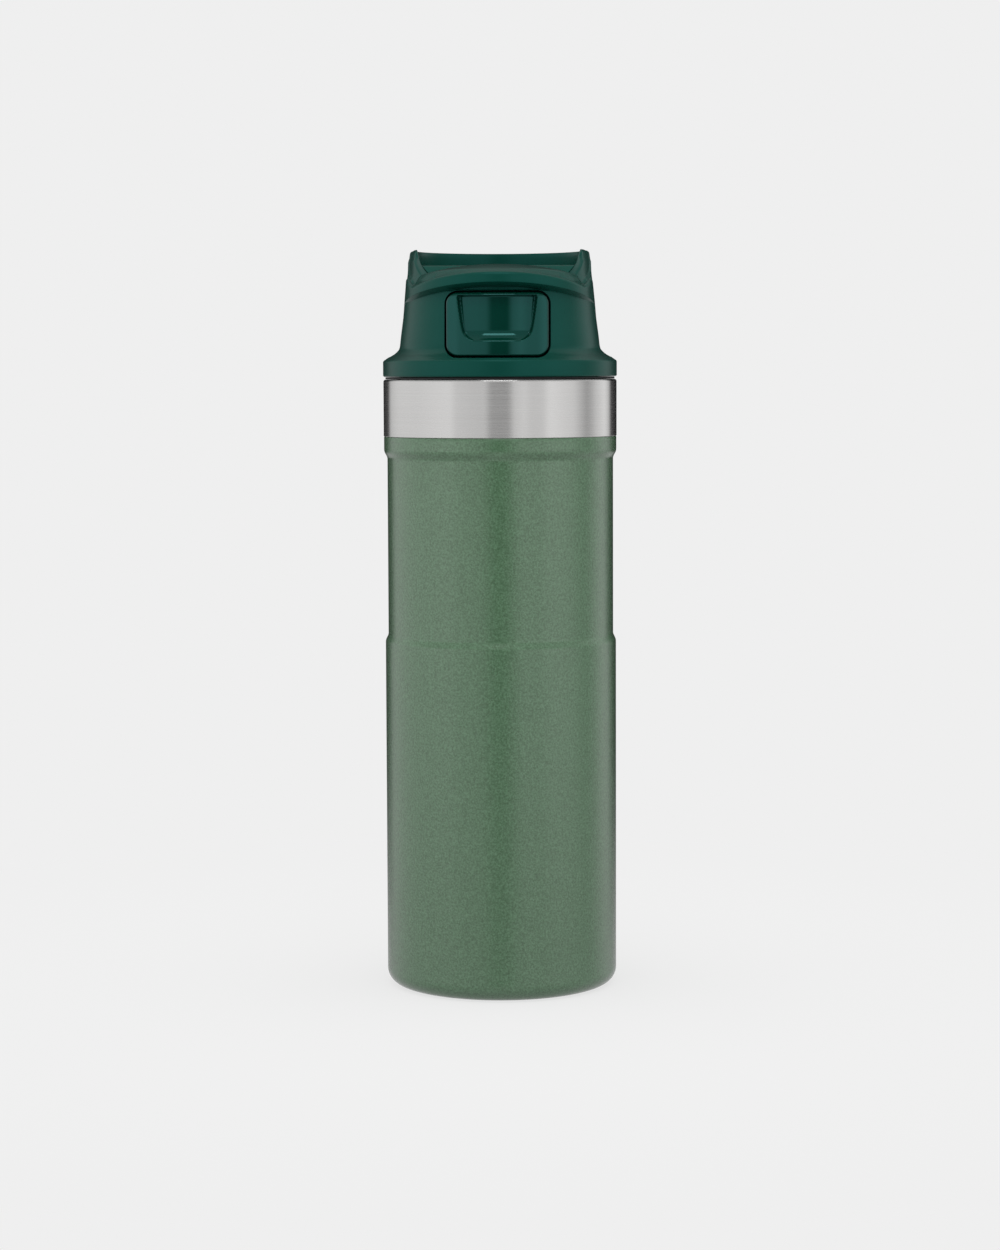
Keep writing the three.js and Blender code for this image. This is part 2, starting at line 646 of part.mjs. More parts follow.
// The torsion spring on the hub that holds the stoppers up against their seats.
function armSpring() {
  const [x0, x1] = [4.4, 7.6];
  const [coilR, wireR] = [HUB_R + 0.9, 0.35];
  return coil(coilR, wireR, x0, x1, 3.5).rotateY(Math.PI / 2).translate(0, PIVOT_Y, PIVOT_Z);
}

// ---- The assembly ----

const flask = new THREE.Group();

function addPiece(name, geometry, finish) {
  const piece = new THREE.Mesh(geometry, finish);
  piece.name = name;
  flask.add(piece);
}

addPiece("outer_shell", outerShell(), hammeredPaint);
addPiece("rim_collar", rimCollar(), brushedSteel);
addPiece("inner_liner", innerLiner(), liningSteel);
addPiece("copper_foil", copperFoil(), copper);
addPiece("outer_base", outerBase(), liningSteel);
addPiece("base_cover", baseCover(), hammeredPaint);
addPiece("seal_bead", sealBead(), solderGlass);
addPiece("getter_pill", barZ(GETTER_R, GETTER_LOW_Z, GETTER_TOP_Z, GETTER_X, 0), getterAlloy);
addPiece("getter_clip", getterClip(), liningSteel);

addPiece("lid_gasket", lidGasket(), silicone);
addPiece("lid_housing", lidHousing(), lidPlastic);
addPiece("deck_insert", deckInsert(), lidPlastic);
addPiece("thread_skirt", threadSkirt(), lidPlastic);
addPiece("valve_bracket", valveBracket(), valvePlastic);

addPiece("trigger_button", triggerButton(), triggerPlastic);
addPiece("trigger_rod", triggerRod(), valvePlastic);
addPiece("rod_clip", rodClip(), springSteel);
addPiece("rod_seal", rodSeal(), silicone);
addPiece("trigger_spring", triggerSpring(), springSteel);

addPiece("valve_arm", valveArm(), valvePlastic);
addPiece("arm_pin", armPin(), springSteel);
addPiece("port_stopper", portStopper(), silicone);
addPiece("vent_stopper", ventStopper(), silicone);
addPiece("arm_spring", armSpring(), springSteel);

export default flask;
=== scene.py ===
"""The looks of a vacuum travel flask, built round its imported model.

Sizes and mesh points are in millimetres, and finish_mesh and tool turn them into metres."""

import math

import bmesh
import bpy
from mathutils import Matrix, Vector


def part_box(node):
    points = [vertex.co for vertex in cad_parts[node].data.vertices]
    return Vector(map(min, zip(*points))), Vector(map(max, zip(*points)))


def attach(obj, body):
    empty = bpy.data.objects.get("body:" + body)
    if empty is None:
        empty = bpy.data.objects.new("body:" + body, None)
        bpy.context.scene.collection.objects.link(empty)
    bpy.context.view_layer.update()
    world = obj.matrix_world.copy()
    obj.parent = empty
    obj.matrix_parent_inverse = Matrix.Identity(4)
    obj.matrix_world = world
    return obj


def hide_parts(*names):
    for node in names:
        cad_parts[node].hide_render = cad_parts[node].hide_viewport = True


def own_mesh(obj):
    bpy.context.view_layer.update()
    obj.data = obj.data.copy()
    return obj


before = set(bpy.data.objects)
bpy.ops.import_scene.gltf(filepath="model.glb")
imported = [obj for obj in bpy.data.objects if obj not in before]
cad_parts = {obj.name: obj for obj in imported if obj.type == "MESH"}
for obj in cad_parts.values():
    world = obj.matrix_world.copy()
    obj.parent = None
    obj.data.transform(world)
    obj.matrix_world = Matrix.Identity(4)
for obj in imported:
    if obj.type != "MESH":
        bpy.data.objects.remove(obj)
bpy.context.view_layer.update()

MM = 0.001
scene = bpy.context.scene

# ---------------------------------------------------------------- the camera

# In metres.
EYE_DISTANCE = 0.9531
EYE_HEIGHT = 0.195
EYE_SIDE = -0.00027
EYE_TILT = math.radians(4.856)
EYE_ROLL = math.radians(-0.209)
EYE_TURN = math.radians(1.5)  # the trigger doesn't quite face the camera

camera = bpy.data.objects.new("camera", bpy.data.cameras.new("camera"))
camera.data.lens = 86.8
camera.data.sensor_width = 36
camera.data.clip_start = 0.05
camera.matrix_world = (
    Matrix.Rotation(EYE_TURN, 4, "Z")
    @ Matrix.Translation((EYE_SIDE, -EYE_DISTANCE, EYE_HEIGHT))
    @ Matrix.Rotation(math.pi / 2 - EYE_TILT, 4, "X")
    @ Matrix.Rotation(EYE_ROLL, 4, "Z")
)
scene.collection.objects.link(camera)
scene.camera = camera

# ---------------------------------------------------------------- sizes, taken from the frame, in mm


def height_range(node):
    low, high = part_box(node)
    return low.z / MM, high.z / MM


def radius_of(node):
    low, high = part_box(node)
    return (high.x - low.x) / 2 / MM


FOOT_Z, COLLAR_LOW = height_range("outer_shell")
COLLAR_Z, RIM_Z = height_range("rim_collar")
LID_Z, LIP_Z = height_range("lid_housing")
BODY_R = 36.5
COLLAR_R = radius_of("rim_collar")
LID_R = radius_of("lid_housing")
GRIP_R = 35.6  # the waist that the hand goes round
STEP_Z, STEP_RISE = 109.1, 2.7  # the soft step from the body in to the waist
BEAD_Z, BEAD_RISE = 167.4, 3.1  # the swell from the waist out to the collar

# ---------------------------------------------------------------- mesh tools


def arc(r, z, radius, start, end, steps):
    """Points on a round stretch of a profile, from one angle to the other in degrees."""
    angles = [math.radians(start + (end - start) * i / steps) for i in range(steps + 1)]
    return [(r + radius * math.cos(a), z + radius * math.sin(a)) for a in angles]


def ease(x, low, high):
    """0 below low, 1 above high, and a smooth change between them."""
    t = min(1.0, max(0.0, (x - low) / (high - low)))
    return t * t * (3 - 2 * t)


def spun(profile, steps=192, closed=True, angle=2 * math.pi, start=0.0, rise=0.0):
    """A profile of (radius, height) in mm, spun about Z. A closed profile doesn't touch the axis."""
    bm = bmesh.new()
    line = [bm.verts.new((r * math.cos(start), r * math.sin(start), z)) for r, z in profile]
    edges = [bm.edges.new(pair) for pair in zip(line, line[1:])]
    if closed:
        edges.append(bm.edges.new((line[-1], line[0])))
    bmesh.ops.spin(
        bm, geom=line + edges, cent=(0, 0, 0), axis=(0, 0, 1), dvec=(0, 0, rise / steps),
        angle=angle, steps=steps, use_merge=abs(angle - 2 * math.pi) < 1e-6 and rise == 0,
    )
    bmesh.ops.remove_doubles(bm, verts=bm.verts, dist=1e-4)
    return bm


def finish_mesh(bm, name, material, body, replaced=(), crease=35):
    """Turns a bmesh in mm into a piece: outward faces, smooth shading with crisp edges, and its body."""
    bmesh.ops.recalc_face_normals(bm, faces=bm.faces)
    bmesh.ops.transform(bm, matrix=Matrix.Scale(MM, 4), verts=bm.verts)
    mesh = bpy.data.meshes.new(name)
    bm.to_mesh(mesh)
    bm.free()
    mesh.shade_smooth()
    mesh.set_sharp_from_angle(angle=math.radians(crease))
    mesh.materials.append(material)
    piece = bpy.data.objects.new(name, mesh)
    scene.collection.objects.link(piece)
    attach(piece, body)
    if replaced:
        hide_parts(*replaced)
    return piece


def cut_with(piece, cutter, operation="DIFFERENCE"):
    """Cuts a piece for good with another closed mesh, which is then removed."""
    modifier = piece.modifiers.new("cut", "BOOLEAN")
    modifier.operation = operation
    modifier.solver = "EXACT"
    modifier.object = cutter
    graph = bpy.context.evaluated_depsgraph_get()
    mesh = bpy.data.meshes.new_from_object(piece.evaluated_get(graph))
    piece.modifiers.clear()
    old = piece.data
    piece.data = mesh
    bpy.data.meshes.remove(old)
    bpy.data.objects.remove(cutter)


def tool(bm, name):
    """A bmesh in mm as a plain object, for cutting with."""
    bmesh.ops.recalc_face_normals(bm, faces=bm.faces)
    bmesh.ops.transform(bm, matrix=Matrix.Scale(MM, 4), verts=bm.verts)
    mesh = bpy.data.meshes.new(name)
    bm.to_mesh(mesh)
    bm.free()
    piece = bpy.data.objects.new(name, mesh)
    scene.collection.objects.link(piece)
    return piece


def smooth_line(points, steps=6):
    """A Catmull-Rom curve through the points."""
    line = []
    for i in range(len(points) - 1):
        p0, p1 = Vector(points[max(i - 1, 0)]), Vector(points[i])
        p2, p3 = Vector(points[i + 1]), Vector(points[min(i + 2, len(points) - 1)])
        for s in range(steps):
            t = s / steps
            q = 0.5 * (2 * p1 + (p2 - p0) * t + (2 * p0 - 5 * p1 + 4 * p2 - p3) * t ** 2
                       + (3 * p1 - p0 - 3 * p2 + p3) * t ** 3)
            line.append(tuple(q))
    line.append(tuple(points[-1]))
    return line


def rounded_rectangle(width, low, top, corner, steps=10):
    """Points round a rectangle in (x, z) with round corners, anticlockwise from its right side."""
    half = width / 2
    centres = [(half - corner, top - corner), (corner - half, top - corner),
               (corner - half, low + corner), (half - corner, low + corner)]
    points = []
    for quarter, (x, z) in enumerate(centres):
        points += arc(x, z, corner, 90 * quarter, 90 * quarter + 90, steps)
    return points


def bar_along_y(outline, y0, y1):
    """An outline of (x, z) in mm, carried along Y."""
    bm = bmesh.new()
    face = bm.faces.new([bm.verts.new((x, y0, z)) for x, z in outline])
    grown = bmesh.ops.extrude_face_region(bm, geom=[face])["geom"]
    moved = [g for g in grown if isinstance(g, bmesh.types.BMVert)]
    bmesh.ops.translate(bm, verts=moved, vec=(0, y1 - y0, 0))
    return bm


# ---------------------------------------------------------------- material tools


def colour(hex_code):
    """An sRGB hex colour, turned linear."""
    channels = [int(hex_code[i:i + 2], 16) / 255 for i in (1, 3, 5)]
    return tuple(c / 12.92 if c <= 0.04045 else ((c + 0.055) / 1.055) ** 2.4 for c in channels) + (1.0,)


def add(tree, kind, sockets=(), stops=(), **settings):
    """Adds a node with its settings, and gives each socket a value or a link from another node's socket."""
    made = tree.nodes.new(kind)
    for name, value in settings.items():
        setattr(made, name, value)
    for name, value in dict(sockets).items():
        if isinstance(value, bpy.types.NodeSocket):
            tree.links.new(value, made.inputs[name])
        else:
            made.inputs[name].default_value = value
    for i, (place, shade) in enumerate(stops):
        stop = made.color_ramp.elements[i] if i < 2 else made.color_ramp.elements.new(place)
        stop.position, stop.color = place, shade
    return made


def grey(level):
    return (level, level, level, 1.0)


def per_mm(size):
    """The scale of a pattern on Object coordinates whose features are this many millimetres across."""
    return 1 / (size * MM)


def new_material(name):
    made = bpy.data.materials.new(name)
    made.use_nodes = True
    made.node_tree.nodes.clear()
    return made, made.node_tree


def show(tree, shader):
    add(tree, "ShaderNodeOutputMaterial", {"Surface": shader.outputs[0]})


def surface_of(tree):
    return add(tree, "ShaderNodeTexCoord").outputs["Object"]


# ---------------------------------------------------------------- materials


def hammertone_enamel():
    """Stoved hammertone enamel over steel: grey-green, with fine dimples under a clear glossy skin."""
    made, tree = new_material("hammertone_enamel")
    place = surface_of(tree)
    grain = add(tree, "ShaderNodeTexNoise", {"Vector": place, "Scale": per_mm(0.6), "Detail": 5.0,
                                             "Roughness": 0.75})
    peel = add(tree, "ShaderNodeTexNoise", {"Vector": place, "Scale": per_mm(2.0), "Detail": 2.0})
    drift = add(tree, "ShaderNodeTexNoise", {"Vector": place, "Scale": per_mm(12.0), "Detail": 2.0})
    both = add(tree, "ShaderNodeMath", {0: drift.outputs[0], 1: 0.04, 2: grain.outputs[0]},
               operation="MULTIPLY_ADD")
    tint = add(tree, "ShaderNodeValToRGB", {"Fac": both.outputs[0]},
               stops=[(0.4, colour("#335736")), (0.66, colour("#557b5b"))])
    height = add(tree, "ShaderNodeMath", {0: peel.outputs[0], 1: 0.9, 2: grain.outputs[0]},
                 operation="MULTIPLY_ADD")
    relief = add(tree, "ShaderNodeBump", {"Height": height.outputs[0], "Strength": 0.5,
                                          "Distance": 0.1 * MM})
    show(tree, add(tree, "ShaderNodeBsdfPrincipled", {
        "Base Color": tint.outputs[0], "Roughness": 0.5, "Specular IOR Level": 0.2,
        "Normal": relief.outputs[0], "Coat Weight": 1.0, "Coat IOR": 1.75, "Coat Roughness": 0.12,
        "Coat Normal": relief.outputs[0],
    }))
    return made


def brushed_steel():
    """Bare 18/8 stainless, brushed round the band: fine level scratches draw highlights into upright bars."""
    made, tree = new_material("brushed_stainless_steel")
    # The scratches are 0.16 mm apart, coarser than real ones, so that they show.
    level = add(tree, "ShaderNodeMapping", {"Vector": surface_of(tree),
                                            "Scale": (per_mm(120), per_mm(120), per_mm(0.16))})
    scratch = add(tree, "ShaderNodeTexNoise", {"Vector": level.outputs[0], "Scale": 1.0, "Detail": 3.0,
                                               "Roughness": 0.7})
    tint = add(tree, "ShaderNodeValToRGB", {"Fac": scratch.outputs[0]},
               stops=[(0.3, colour("#d8d7d6")), (0.7, colour("#e9e8e7"))])
    gloss = add(tree, "ShaderNodeMapRange", {"Value": scratch.outputs[0], "From Min": 0.3, "From Max": 0.7,
                                             "To Min": 0.24, "To Max": 0.3})
    relief = add(tree, "ShaderNodeBump", {"Height": scratch.outputs[0], "Strength": 0.2,
                                          "Distance": 0.006 * MM})
    around = add(tree, "ShaderNodeTangent", direction_type="RADIAL", axis="Z")
    show(tree, add(tree, "ShaderNodeBsdfPrincipled", {
        "Base Color": tint.outputs[0], "Roughness": gloss.outputs[0], "Metallic": 1.0,
        "Normal": relief.outputs[0], "Anisotropic": 1.0, "Anisotropic Rotation": 0.25,
        "Tangent": around.outputs[0],
    }))
    return made


def bright_steel(name, shade, rough, size):
    """Drawn and electropolished stainless: bright, with a faint cloudiness in its shine."""
    made, tree = new_material(name)
    cloud = add(tree, "ShaderNodeTexNoise",
                {"Vector": surface_of(tree), "Scale": per_mm(size), "Detail": 3.0})
    gloss = add(tree, "ShaderNodeMapRange", {"Value": cloud.outputs[0], "From Min": 0.3, "From Max": 0.7,
                                             "To Min": rough * 0.8, "To Max": rough * 1.25})
    tint = add(tree, "ShaderNodeMix", {"Factor": cloud.outputs[0], 6: colour(shade), 7: colour("#e4e3e1")},
               data_type="RGBA")
    relief = add(tree, "ShaderNodeBump",
                 {"Height": cloud.outputs[0], "Strength": 0.15, "Distance": 0.006 * MM})
    show(tree, add(tree, "ShaderNodeBsdfPrincipled", {
        "Base Color": tint.outputs[2], "Roughness": gloss.outputs[0], "Metallic": 1.0,
        "Normal": relief.outputs[0],
    }))
    return made


def moulded(name, dark, light, rough, grain_mm, relief_mm, ior=1.49, shine=0.5, sheen=(1.0, 1.0, 1.0, 1.0)):
    """Moulded plastic or rubber: one dyed colour with a slight drift, and a fine skin that breaks its shine.

    The shine is the specular level, and the sheen is the colour that the dye lends it."""
    made, tree = new_material(name)
    place = surface_of(tree)
    grain = add(tree, "ShaderNodeTexNoise", {"Vector": place, "Scale": per_mm(grain_mm), "Detail": 2.0})
    drift = add(tree, "ShaderNodeTexNoise", {"Vector": place, "Scale": per_mm(14.0), "Detail": 2.0})
    tint = add(tree, "ShaderNodeMix", {"Factor": drift.outputs[0], 6: colour(dark), 7: colour(light)},
               data_type="RGBA")
    gloss = add(tree, "ShaderNodeMapRange", {"Value": grain.outputs[0], "From Min": 0.3, "From Max": 0.7,
                                             "To Min": rough * 0.9, "To Max": rough * 1.1})
    relief = add(tree, "ShaderNodeBump", {"Height": grain.outputs[0], "Strength": 0.3,
                                          "Distance": relief_mm * MM})
    show(tree, add(tree, "ShaderNodeBsdfPrincipled", {
        "Base Color": tint.outputs[2], "Roughness": gloss.outputs[0], "IOR": ior,
        "Normal": relief.outputs[0], "Specular IOR Level": shine, "Specular Tint": sheen,
    }))
    return made


TEAL = (0.3, 0.95, 0.95, 1.0)  # the dye's own colour, which shows in the shine of both plastics

ENAMEL = hammertone_enamel()
BRUSHED = brushed_steel()
# The wet side of the flask: pale, soft-edged reflections.
LINING = bright_steel("electropolished_stainless_steel", "#bfc0c1", 0.3, 3.0)
# Drawn spring wire: smaller and sharper glints.
WIRE = bright_steel("bright_stainless_wire", "#b4b5b6", 0.2, 0.6)
# Thin rolled copper: a warm, soft shine.
COPPER = bright_steel("copper_foil", "#b87350", 0.3, 2.0)
# Polypropylene with a spark-eroded mould skin: semi-gloss, so edges catch a soft line of light.
LID_PLASTIC = moulded("moulded_polypropylene_teal", "#073b31", "#0a4036", 0.3, 0.35, 0.003,
                      shine=0.32, sheen=TEAL)
# Polished ABS from a mirror-finished mould: sharp reflections over a deep green.
TRIGGER_PLASTIC = moulded("polished_abs_dark_green", "#002c21", "#003025", 0.06, 3.0, 0.001,
                          shine=0.72, sheen=TEAL)
# Glass-filled nylon: a dull dark grey.
VALVE_PLASTIC = moulded("glass_filled_nylon_grey", "#26292b", "#303436", 0.5, 0.3, 0.01)
# Moulded silicone rubber: soft, dull and nearly black.
SILICONE = moulded("moulded_silicone_rubber", "#161819", "#202324", 0.62, 0.5, 0.006, ior=1.41)
# Solder glass: a dark glassy drop.
SOLDER = moulded("solder_glass", "#5f6f76", "#74848b", 0.12, 0.8, 0.004, ior=1.6)

# ---------------------------------------------------------------- the steel body

SHELL_WALL = 0.5
PAINT_SET_IN = 0.08  # how far the painted wall stays inside the collar
FOOT_CORNER = 4.7
FOOT_IN_R = 29.3
RECESS_R = 27.4
RECESS_Z = 2.2
NECK_R = 31.8
NECK_Z = 173.0
FLARE_Z = 187.6
LINER_R = 32.4
LINER_WALL = 0.4
LINER_CORNER = 9.0
LINER_FLOOR = 8.5
RIM_IN_R = 35.2
FIT = 0.1


def shell_radius(z):
    """Outside radius of the painted wall above the rounded foot."""
    waist = BODY_R + (GRIP_R - BODY_R) * ease(z, STEP_Z, STEP_Z + STEP_RISE)
    swell = math.sin(ease(z, BEAD_Z - 0.5, BEAD_Z + BEAD_RISE) * math.pi / 2)
    return waist + (COLLAR_R - PAINT_SET_IN - GRIP_R) * swell


def outer_shell():
    foot = BODY_R - FOOT_CORNER
    top = COLLAR_LOW
    heights = [FOOT_CORNER + 0.8, 20, 40, 60, 80, 100, 106, 108]
    heights += [STEP_Z - 0.3 + 0.3 * i for i in range(12)]
    heights += [113, 116, 125, 140, 155, 163, 166]
    heights += [BEAD_Z - 0.6 + 0.3 * i for i in range(14)]
    heights += [172.5, top - 0.25]
    outside = [(FOOT_IN_R, 0.0), (FOOT_IN_R + 1, 0.0)] + arc(foot, FOOT_CORNER, FOOT_CORNER, -90, 0, 14)
    outside += [(shell_radius(z), z) for z in heights] + [(shell_radius(top) - 0.15, top)]
    inside = [(shell_radius(z) - SHELL_WALL, z) for z in reversed(heights[::2])]
    inside = [(shell_radius(top) - SHELL_WALL, top)] + inside
    inside += arc(foot, FOOT_CORNER, FOOT_CORNER - SHELL_WALL, 0, -90, 8) + [(FOOT_IN_R, SHELL_WALL)]
    finish_mesh(spun(outside + inside), "outer_shell_smooth", ENAMEL, "flask", ["outer_shell"])


def rim_collar():
    roll = 0.75
    inner = COLLAR_R - SHELL_WALL
    profile = [(COLLAR_R - 0.12, COLLAR_Z), (COLLAR_R, COLLAR_Z + 0.12), (COLLAR_R, 180), (COLLAR_R, 186)]
    profile += arc(COLLAR_R - roll, RIM_Z - roll, roll, 0, 90, 8)
    profile += [(RIM_IN_R, RIM_Z), (RIM_IN_R, RIM_Z - SHELL_WALL), (inner - 0.2, RIM_Z - SHELL_WALL),
                (inner, RIM_Z - 0.9), (inner, COLLAR_Z)]
    finish_mesh(spun(profile), "rim_collar_smooth", BRUSHED, "flask", ["rim_collar"])


def thread_ridges(wall_r, crest_r, top_z):
    """Three starts of a rounded ridge that winds down a wall and fades at both ends, as closed shapes."""
    starts, sweep, lead, steps, run_out = 3, math.radians(170), 12.0, 60, 0.35
    buried = wall_r + 0.25 * (1 if wall_r > crest_r else -1)
    section = [(buried, -1.05), (wall_r, -1.0), (crest_r + (wall_r - crest_r) * 0.15, -0.55),
               (crest_r, -0.35),
               (crest_r, 0.35), (crest_r + (wall_r - crest_r) * 0.15, 0.55), (wall_r, 1.0), (buried, 1.05)]
    whole = bmesh.new()
    for i in range(starts):
        ridge = spun(section, steps, angle=sweep, start=2 * math.pi * i / starts,
                     rise=-lead * sweep / math.tau)
        for v in ridge.verts:
            turned = (math.atan2(v.co.y, v.co.x) - 2 * math.pi * i / starts) % math.tau
            if turned > math.tau - 0.1:
                turned = 0.0
            fade = max(0.03, min(1.0, turned / run_out, (sweep - turned) / run_out))
            middle = -lead * turned / math.tau
            radius = math.hypot(v.co.x, v.co.y)
            scale = (buried + (radius - buried) * fade) / radius
            v.co = (v.co.x * scale, v.co.y * scale, top_z + middle + (v.co.z - middle) * fade)
        bmesh.ops.holes_fill(ridge, edges=[e for e in ridge.edges if e.is_boundary], sides=0)
        kept = bpy.data.meshes.new("ridge")
        ridge.to_mesh(kept)
        ridge.free()
        whole.from_mesh(kept)
        bpy.data.meshes.remove(kept)
    return whole


def inner_liner():
    cx, cz = LINER_R - LINER_CORNER, LINER_FLOOR + LINER_CORNER
    edge = RIM_IN_R - FIT
    profile = [(0, LINER_FLOOR), (12, LINER_FLOOR)] + arc(cx, cz, LINER_CORNER, -90, 0, 12)
    profile += [(LINER_R, 60), (LINER_R, 120), (LINER_R, NECK_Z - 2), (NECK_R, NECK_Z), (NECK_R, FLARE_Z)]
    profile += [(edge - 0.6, RIM_Z - 0.9), (edge, RIM_Z - 0.2), (edge, RIM_Z - 1.3)]
    profile += [(NECK_R + LINER_WALL + 0.3, FLARE_Z), (NECK_R + LINER_WALL, FLARE_Z - 0.5),
                (NECK_R + LINER_WALL, NECK_Z), (LINER_R + LINER_WALL, NECK_Z - 2)]
    profile += arc(cx, cz, LINER_CORNER + LINER_WALL, 0, -90, 12) + [(0, LINER_FLOOR - LINER_WALL)]
    cup = finish_mesh(spun(profile, closed=False), "inner_liner_smooth", LINING, "flask",
                      ["inner_liner"])
    cut_with(cup, tool(thread_ridges(NECK_R, 30.6, 186.4), "neck_thread"), "UNION")


def base_pieces():
    wall = 0.6
    low = [(0.8, 3.4), (4.6, 3.4), (5.0, 3.25), (5.7, 2.35), (6.2, RECESS_Z), (RECESS_R - 0.5, RECESS_Z),
           (RECESS_R, RECESS_Z - 0.5), (RECESS_R, 0.3), (RECESS_R + 0.3, 0.0), (FOOT_IN_R - FIT, 0.0),
           (FOOT_IN_R - FIT, wall), (RECESS_R + wall, wall), (RECESS_R + wall, RECESS_Z + wall),
           (5.8, RECESS_Z + wall), (5.0, 3.4 + wall), (0.8, 3.4 + wall)]
    finish_mesh(spun(low), "outer_base_smooth", LINING, "flask", ["outer_base"])
    edge, top = RECESS_R - 0.3, RECESS_Z - FIT
    plate = [(0, top - 0.6), (edge - 0.3, top - 0.6), (edge - 0.08, top - 0.5), (edge, top - 0.3),
             (edge, top), (0, top)]
    finish_mesh(spun(plate, closed=False), "base_cover_smooth", ENAMEL, "flask", ["base_cover"])


outer_shell()
rim_collar()
inner_liner()
base_pieces()

# ---------------------------------------------------------------- the lid

LEDGE_Z = 227.05
DECK_FRONT_Y, DECK_BACK_Y = -14.0, -8.5
DISH_Z = 220.0
CEILING_Z = 218.0
RIM_WALL_IN = 26.2
FLANGE_R = LID_R - 0.2
SHOULDER_Z = 194.7
SKIRT_PLATE_R = 34.8
BULKHEAD_Y = -15.2
BULKHEAD = 1.6
ROD_Z = 210.5
ROD_R = 2.4
PORT_Y, PORT_A, PORT_B = 16.5, 7.0, 4.2
VENT_Y, VENT_R = 5.6, 1.4
WINDOW_W, WINDOW_LOW, WINDOW_TOP, WINDOW_CORNER = 32.6, 198.35, 218.95, 4.1
VISOR_A, VISOR_B, VISOR_FACE = 30.2, 34.0, 3.2  # half width, depth and height of its face
DRUM_FOOT_Z = 201.0
RIM_FOOT_Z = 219.0  # the rim wall is drawn down towards this height
RIM_SET_IN = 0.5  # how far the rim wall stands back above the ridge

# Outside radius of the drum at a few heights, from the foot of its wall to its rounded lip.
DRUM = [(31.85, 201.0), (31.56, 201.6), (31.40, 202.5), (31.10, 205.3), (30.34, 211.0), (29.87, 216.6),
        (29.27, 221.6), (28.85, 225.05), (28.72, 228.5), (28.30, 229.9)]
# The front edge of the rim wall, as (y, z): it sweeps up and back into the two horns.
SWEEP = [(-45.0, 221.0), (-24.0, 221.2), (-17.8, 223.6), (-13.8, 227.0), (-10.4, 231.3), (-8.9, 234.0)]
# The soft ridge that the visor's top edge leaves on the drum, as (y, z).
RIDGE = [(-40.0, 220.6), (-18.0, 220.8), (-14.0, 221.1), (-10.2, 222.3), (-6.9, 223.4), (-2.5, 226.5),
         (1.5, 233.5)]


def along(points, x, axis=0):
    """The other coordinate of a line of points at x, read off its straight pieces."""
    line = sorted(points, key=lambda p: p[axis])
    for p, q in zip(line, line[1:]):
        if x <= q[axis]:
            t = max(0.0, (x - p[axis]) / (q[axis] - p[axis]))
            return p[1 - axis] + (q[1 - axis] - p[1 - axis]) * t
    return line[-1][1 - axis]


def drum_radius(z):
    return along(DRUM, z, axis=1)


def lid_drum():
    """The turned wall of the lid: its rim comes down to horns at the front, set in above the ridge."""
    profile = [(SKIRT_PLATE_R + 0.2, SHOULDER_Z), (SKIRT_PLATE_R + 0.2, LID_Z), (FLANGE_R - 0.5, LID_Z)]
    profile += arc(FLANGE_R - 0.55, LID_Z + 0.55, 0.55, -75, 0, 5) + [(FLANGE_R, 195.2)]
    profile += arc(FLANGE_R - 0.8, 197.1, 0.8, 0, 68, 6)
    profile += [(35.2, 198.62), (34.2, 199.1), (33.3, 199.65), (32.6, 200.2), (32.1, 200.75), (31.85, 201.0)]
    profile += [(drum_radius(z), z) for z in (DRUM_FOOT_Z + 0.45 * i for i in range(1, 64))]
    profile += arc(27.1, 230.85, 1.15, 12, 90, 8)
    profile += arc(RIM_WALL_IN + 0.3, 231.7, 0.3, 90, 180, 4)
    profile += [(RIM_WALL_IN, 231.0 - 0.6 * i) for i in range(1, 20)]
    profile += [(RIM_WALL_IN, 218.6), (28.0, 217.6), (28.7, 211.0), (29.9, 202.0), (30.4, 199.4),
                (33.0, 197.2), (33.2, 196.6), (33.2, SHOULDER_Z)]
    bm = spun(profile, 320)
    sweep, ridge = smooth_line(SWEEP), smooth_line(RIDGE)
    for v in bm.verts:
        x, y, z = v.co
        radius = math.hypot(x, y)
        top = min(LIP_Z, along(sweep, y))
        wanted = radius
        if z > RIM_FOOT_Z - 1 and radius > 27.0:
            wanted -= RIM_SET_IN * ease(z - along(ridge, y), 0.0, 0.9)
        # The wall thins to a fine edge round the horns, on its inner side.
        horn = 1 - ease(y, -9.5, -1.0)
        drawn = (top - RIM_FOOT_Z) / (LIP_Z - RIM_FOOT_Z)
        if z > RIM_FOOT_Z and horn > 0:
            below = (LIP_Z - z) * drawn
            thin = horn * (1 - ease(below, 0.3, 5.0))
            outer = drum_radius(RIM_FOOT_Z + (z - RIM_FOOT_Z) * drawn) - RIM_SET_IN
            wanted += (outer - 0.45 - wanted) * thin * ease(outer - wanted, 0.0, 0.6)
        x, y = x * wanted / radius, y * wanted / radius
        if z > RIM_FOOT_Z and top < LIP_Z:
            z = RIM_FOOT_Z + (z - RIM_FOOT_Z) * drawn
        v.co = (x, y, z)
    drum = finish_mesh(bm, "lid_drum", LID_PLASTIC, "lid", ["lid_housing"], crease=40)
    window = rounded_rectangle(WINDOW_W, WINDOW_LOW, WINDOW_TOP, WINDOW_CORNER)
    cut_with(drum, tool(bar_along_y(window, -45, -20), "window"))


def deck_height(x, y):
    """Height of the deck, the slope down from it, and the drinking dish."""
    z = LEDGE_Z + (DISH_Z - LEDGE_Z) * ease(y, DECK_BACK_Y, DECK_BACK_Y + 7)
    wall = ease(math.hypot(x, y), RIM_WALL_IN - 2.6, RIM_WALL_IN + 0.4)
    z += wall * wall * 1.6 * ease(y, DECK_BACK_Y, 0)
    # The front edge rolls over into a slope down under the visor's crown.
    over = DECK_FRONT_Y - y
    z -= 0.42 * (over + math.sqrt(over * over + 0.16))
    return z


